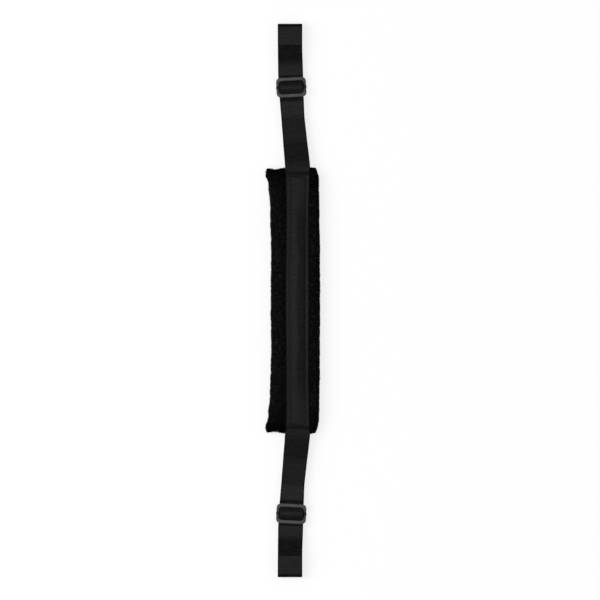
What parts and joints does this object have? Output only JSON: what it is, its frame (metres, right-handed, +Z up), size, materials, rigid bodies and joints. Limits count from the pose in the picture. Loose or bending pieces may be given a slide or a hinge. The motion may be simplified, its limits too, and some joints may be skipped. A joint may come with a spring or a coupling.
{
  "type": "padded neck strap",
  "caption": "Padded neck strap: a plush pad with webbing sewn along it, a slider that sets the length of each arm, and a folded webbing loop at each end.",
  "frame": {"origin": "on the table under the middle of the strap's box", "axes": "+Y along the strap towards the upper end in the picture, +X to the right in the picture, +Z up out of the webbing side"},
  "size_m": [0.056, 0.5714, 0.0141],
  "materials": {
    "plush": "short black plush pile",
    "foam": "open-cell polyurethane foam",
    "webbing": "woven black nylon webbing, slightly satin",
    "thread": "black bonded polyester thread",
    "slider_wire": "dark grey satin coating on steel wire",
    "slider_bar": "dark satin coating on steel"
  },
  "bodies": {
    "pad": {"pad_front_cover": "plush", "pad_back_cover": "plush", "pad_foam": "foam", "pad_webbing": "webbing", "edge_stitching": "thread", "upper_cross_stitching": "thread", "lower_cross_stitching": "thread"},
    "upper_arm": {"upper_arm_webbing": "webbing"},
    "upper_slider": {"upper_slider_frame": "slider_wire", "upper_slider_bar": "slider_bar", "upper_return_webbing": "webbing", "upper_tab_stitching": "thread"},
    "upper_loop": {"upper_end_loop": "webbing"},
    "lower_arm": {"lower_arm_webbing": "webbing"},
    "lower_slider": {"lower_slider_frame": "slider_wire", "lower_slider_bar": "slider_bar", "lower_return_webbing": "webbing", "lower_tab_stitching": "thread"},
    "lower_loop": {"lower_end_loop": "webbing"}
  },
  "joints": [
    {"name": "upper_arm_fold", "type": "hinge", "parent": "pad", "child": "upper_arm", "pos_m": [0.0053, 0.1372, 0.00895], "axis": [1, 0, 0], "range_deg": [-90, 150]},
    {"name": "upper_slider_slide", "type": "slide", "parent": "upper_arm", "child": "upper_slider", "axis": [-0.0384, 0.9993, 0], "range_m": [-0.03, 0.012]},
    {"name": "upper_loop_slide", "type": "slide", "parent": "upper_arm", "child": "upper_loop", "axis": [-0.0384, 0.9993, 0], "range_m": [-0.015, 0.006]},
    {"name": "lower_arm_fold", "type": "hinge", "parent": "pad", "child": "lower_arm", "pos_m": [0.0053, -0.1372, 0.00895], "axis": [-1, 0, 0], "range_deg": [-90, 150]},
    {"name": "lower_slider_slide", "type": "slide", "parent": "lower_arm", "child": "lower_slider", "axis": [-0.0384, -0.9993, 0], "range_m": [-0.03, 0.012]},
    {"name": "lower_loop_slide", "type": "slide", "parent": "lower_arm", "child": "lower_loop", "axis": [-0.0384, -0.9993, 0], "range_m": [-0.015, 0.006]}
  ],
  "couplings": [
    {"joint": "upper_loop_slide", "follows": "upper_slider_slide", "ratio": 0.5},
    {"joint": "lower_loop_slide", "follows": "lower_slider_slide", "ratio": 0.5}
  ]
}
